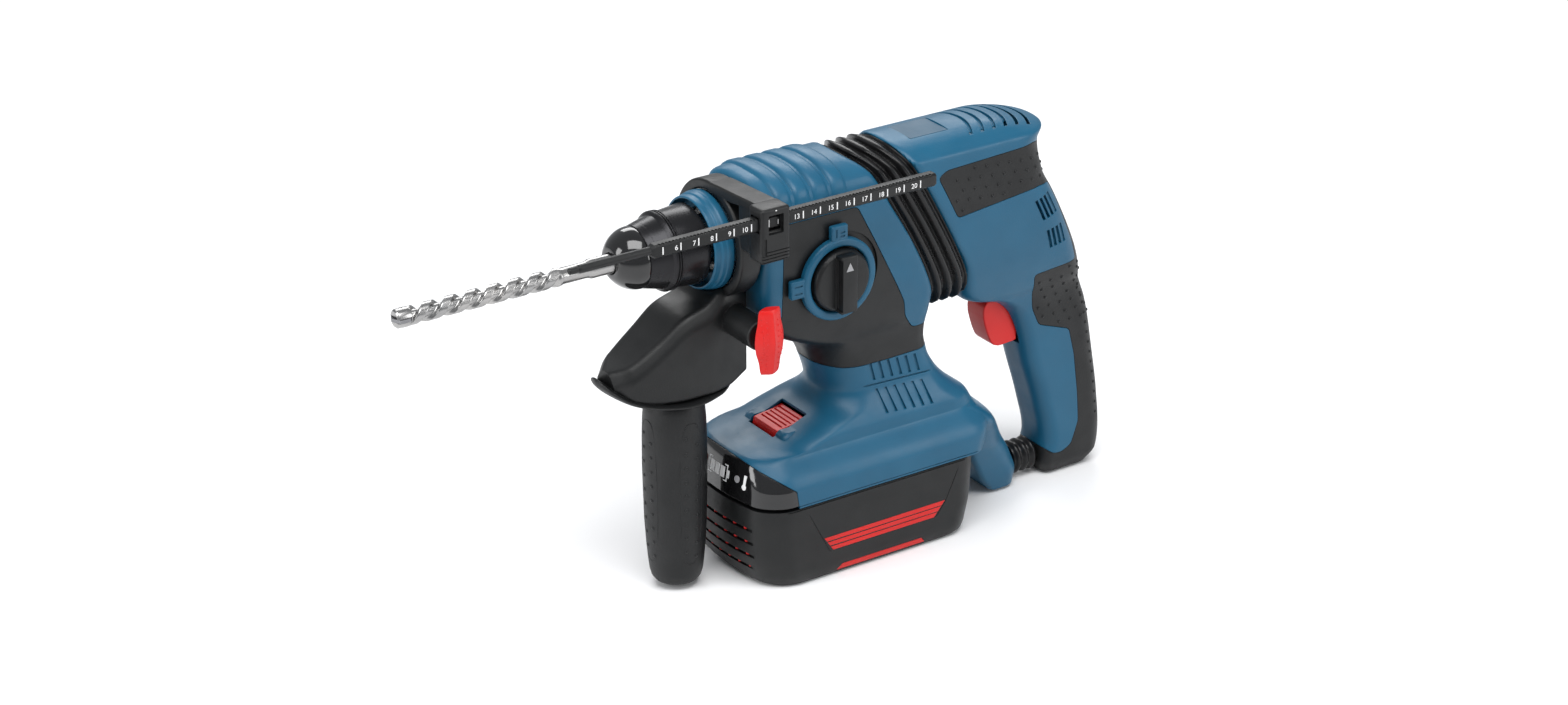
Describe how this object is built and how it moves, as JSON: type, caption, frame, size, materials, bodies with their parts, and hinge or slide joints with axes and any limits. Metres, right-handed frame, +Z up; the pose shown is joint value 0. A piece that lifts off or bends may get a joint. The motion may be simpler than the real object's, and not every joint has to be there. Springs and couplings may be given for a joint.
{
  "type": "cordless rotary hammer",
  "caption": "Cordless rotary hammer with a closed rear handle, side handle with depth rod, slide-on battery, selector dial and spiral drill.",
  "frame": {"origin": "centre of the battery's flat underside", "axes": "+X from the drill towards the rear handle, +Z up, -Y on the side with the selector dial"},
  "size_m": [0.4246, 0.0965, 0.2194],
  "materials": {
    "blue_plastic": "satin blue moulded plastic",
    "black_plastic": "satin black moulded plastic",
    "gloss_black": "glossy black plastic",
    "black_rubber": "soft grip rubber",
    "red_plastic": "satin red plastic",
    "steel": "machined steel",
    "carbide": "sintered carbide",
    "copper_winding": "wound armature",
    "circuit_board": "circuit board",
    "battery_cell": "wrapped cells"
  },
  "bodies": {
    "front_housing": {"gear_cover": "blue_plastic", "front_collar": "blue_plastic", "spindle_tube": "blue_plastic", "foot_left": "blue_plastic", "foot_right": "blue_plastic", "selector_bezel": "blue_plastic", "gear_housing_left": "black_plastic", "gear_housing_right": "black_plastic", "upper_bellows": "black_rubber", "lower_bellows": "black_rubber", "spindle_bearing_front": "steel", "spindle_bearing_rear": "steel", "motor_stator": "steel", "motor_bearing_upper": "steel", "motor_bearing_lower": "steel", "carbon_brush_left": "black_plastic", "carbon_brush_right": "black_plastic", "terminal_block": "black_plastic", "electronics_board": "circuit_board", "latch_spring": "steel"},
    "rear_handle": {"rear_housing_left": "blue_plastic", "rear_housing_right": "blue_plastic", "grip_rubber": "black_rubber", "switch_module": "black_plastic", "trigger_spring": "steel"},
    "trigger": {"trigger": "red_plastic"},
    "direction_lever": {"direction_lever": "red_plastic"},
    "spindle": {"spindle": "steel", "spindle_gear": "steel", "dust_cap": "gloss_black", "locking_ball_left": "steel", "locking_ball_right": "steel", "lock_spring": "steel"},
    "locking_sleeve": {"locking_sleeve": "gloss_black"},
    "drill_bit": {"drill_bit": "steel", "carbide_tip": "carbide"},
    "impact_bolt": {"impact_bolt": "steel"},
    "striker": {"striker": "steel"},
    "piston": {"piston": "steel"},
    "wobble_ring": {"wobble_ring": "steel"},
    "intermediate_shaft": {"intermediate_shaft": "steel", "face_gear": "steel", "wobble_drum": "steel"},
    "armature": {"motor_armature": "copper_winding", "motor_pinion": "steel", "motor_fan": "black_plastic"},
    "selector_knob": {"selector_knob": "black_plastic"},
    "latch_button": {"latch_button": "red_plastic"},
    "battery": {"battery_case": "black_plastic", "battery_panel": "gloss_black", "battery_cells": "battery_cell"},
    "charge_button": {"charge_button": "red_plastic"},
    "side_handle": {"handle_bracket": "black_plastic", "clamp_band": "steel", "grip_sleeve": "black_rubber", "depth_clamp_block": "black_plastic"},
    "wing_bolt": {"wing_bolt": "red_plastic"},
    "depth_rod": {"depth_rod": "black_plastic"}
  },
  "joints": [
    {"name": "handle_damping", "type": "slide", "parent": "front_housing", "child": "rear_handle", "axis": [-1, 0, 0], "range_m": [0, 0.003], "stiffness_N_per_m": 12000},
    {"name": "trigger_pull", "type": "slide", "parent": "rear_handle", "child": "trigger", "axis": [1, 0, 0], "range_m": [0, 0.007], "stiffness_N_per_m": 900, "springref_m": -0.001, "deforming": ["trigger_spring"]},
    {"name": "direction_shift", "type": "slide", "parent": "rear_handle", "child": "direction_lever", "axis": [0, 1, 0], "range_m": [-0.003, 0.003]},
    {"name": "spindle_spin", "type": "hinge", "parent": "front_housing", "child": "spindle", "pos_m": [-0.13, 0, 0.186], "axis": [1, 0, 0], "continuous": true},
    {"name": "sleeve_pull", "type": "slide", "parent": "spindle", "child": "locking_sleeve", "axis": [1, 0, 0], "range_m": [0, 0.007], "stiffness_N_per_m": 900, "deforming": ["lock_spring"]},
    {"name": "bit_play", "type": "slide", "parent": "spindle", "child": "drill_bit", "axis": [1, 0, 0], "range_m": [0, 0.008]},
    {"name": "impact_bolt_play", "type": "slide", "parent": "spindle", "child": "impact_bolt", "axis": [1, 0, 0], "range_m": [0, 0.002]},
    {"name": "striker_travel", "type": "slide", "parent": "spindle", "child": "striker", "axis": [1, 0, 0], "range_m": [-0.0055, 0.007]},
    {"name": "wobble_swing", "type": "hinge", "parent": "front_housing", "child": "wobble_ring", "pos_m": [-0.013, 0, 0.161], "axis": [0, 1, 0], "range_deg": [-14, 14]},
    {"name": "piston_travel", "type": "slide", "parent": "front_housing", "child": "piston", "axis": [1, 0, 0], "range_m": [-0.0062, 0.0062]},
    {"name": "intermediate_spin", "type": "hinge", "parent": "front_housing", "child": "intermediate_shaft", "pos_m": [-0.13, 0, 0.161], "axis": [1, 0, 0], "continuous": true},
    {"name": "armature_spin", "type": "hinge", "parent": "front_housing", "child": "armature", "pos_m": [0.012, 0, 0.116], "axis": [0, 0, 1], "continuous": true},
    {"name": "selector_turn", "type": "hinge", "parent": "front_housing", "child": "selector_knob", "pos_m": [-0.0171, -0.0303, 0.1623], "axis": [0, -1, 0], "range_deg": [0, 90]},
    {"name": "latch_press", "type": "slide", "parent": "front_housing", "child": "latch_button", "axis": [0, 0, -1], "range_m": [0, 0.004], "stiffness_N_per_m": 900, "springref_m": -0.001, "deforming": ["latch_spring"]},
    {"name": "battery_slide", "type": "slide", "parent": "front_housing", "child": "battery", "axis": [-1, 0, 0], "range_m": [0, 0.0035]},
    {"name": "charge_button_press", "type": "slide", "parent": "battery", "child": "charge_button", "axis": [1, 0, 0], "range_m": [0, 0.001], "stiffness_N_per_m": 800},
    {"name": "side_handle_swivel", "type": "hinge", "parent": "front_housing", "child": "side_handle", "pos_m": [-0.068, 0, 0.186], "axis": [-1, 0, 0], "range_deg": [0, 150]},
    {"name": "wing_bolt_turn", "type": "hinge", "parent": "side_handle", "child": "wing_bolt", "pos_m": [-0.069, -0.042, 0.1475], "axis": [0, -1, 0], "range_deg": [0, 360]},
    {"name": "depth_rod_slide", "type": "slide", "parent": "side_handle", "child": "depth_rod", "axis": [1, 0, 0], "range_m": [-0.05, 0.03]}
  ],
  "couplings": [
    {"joint": "intermediate_spin", "follows": "spindle_spin", "ratio": -3},
    {"joint": "armature_spin", "follows": "spindle_spin", "ratio": 12},
    {"joint": "piston_travel", "follows": "wobble_swing", "m_per_rad": 0.025}
  ]
}
